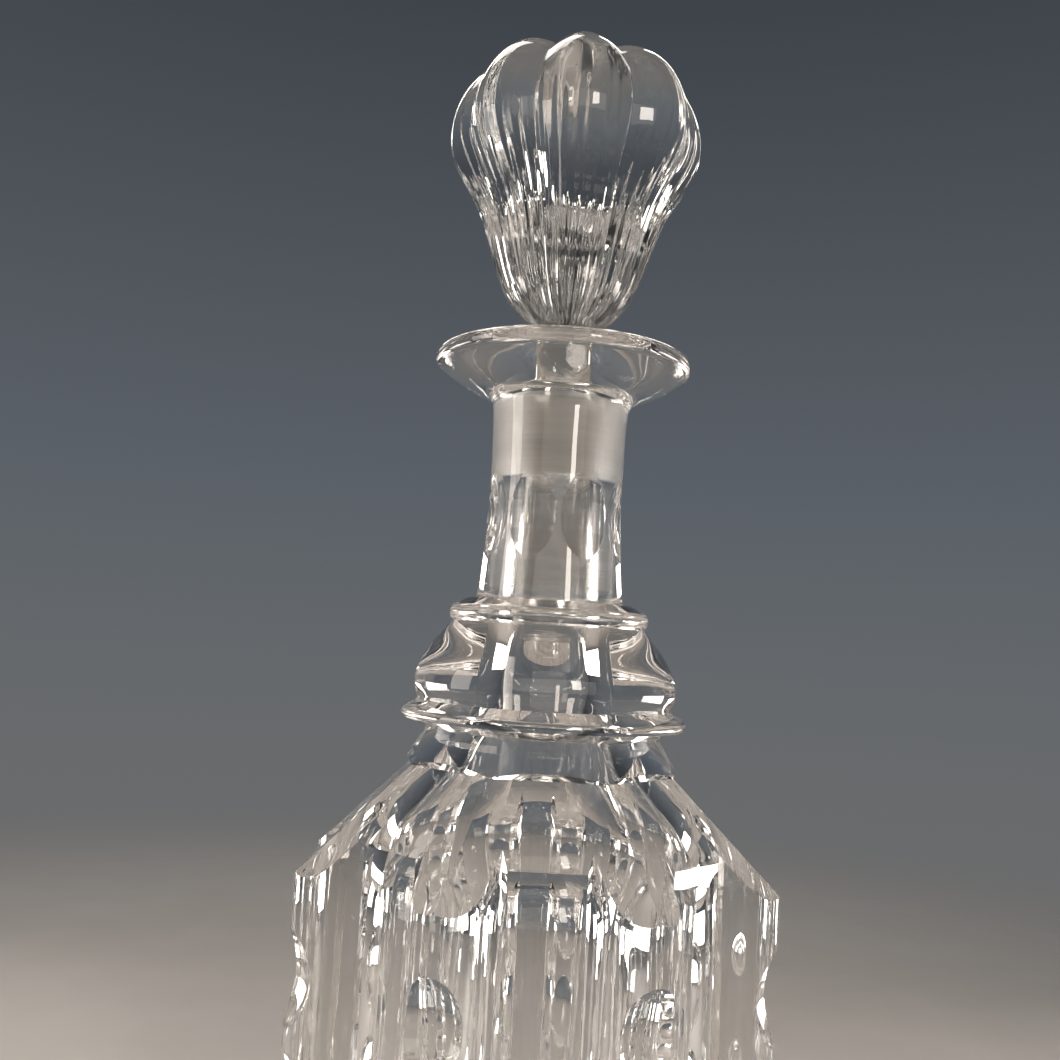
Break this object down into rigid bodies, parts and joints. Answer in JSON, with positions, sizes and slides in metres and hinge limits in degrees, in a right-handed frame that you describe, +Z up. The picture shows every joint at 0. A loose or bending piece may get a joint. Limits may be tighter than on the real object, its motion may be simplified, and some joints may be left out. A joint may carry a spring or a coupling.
{
  "type": "cut crystal decanter",
  "caption": "Clear cut-glass decanter with pillars and hollow printies, a ringed neck, a flared lip and a lobed stopper ground into the neck.",
  "frame": {"origin": "centre of the base, on the surface that the decanter stands on", "axes": "+Z up along the axis of the decanter, -Y out of the flat strip that faces the viewer"},
  "size_m": [0.111, 0.111, 0.302],
  "materials": {
    "clear_crystal": "polished and wheel cut, with a ground seat inside the mouth",
    "stopper_crystal": "polished head and stem, ground peg"
  },
  "bodies": {
    "decanter": {"vessel": "clear_crystal", "lower_neck_ring": "clear_crystal", "neck_knop": "clear_crystal", "upper_neck_ring": "clear_crystal"},
    "stopper": {"stopper": "stopper_crystal"}
  },
  "joints": [
    {"name": "stopper_lift", "type": "slide", "parent": "decanter", "child": "stopper", "axis": [0, 0, 1], "range_m": [0, 0.06]}
  ]
}
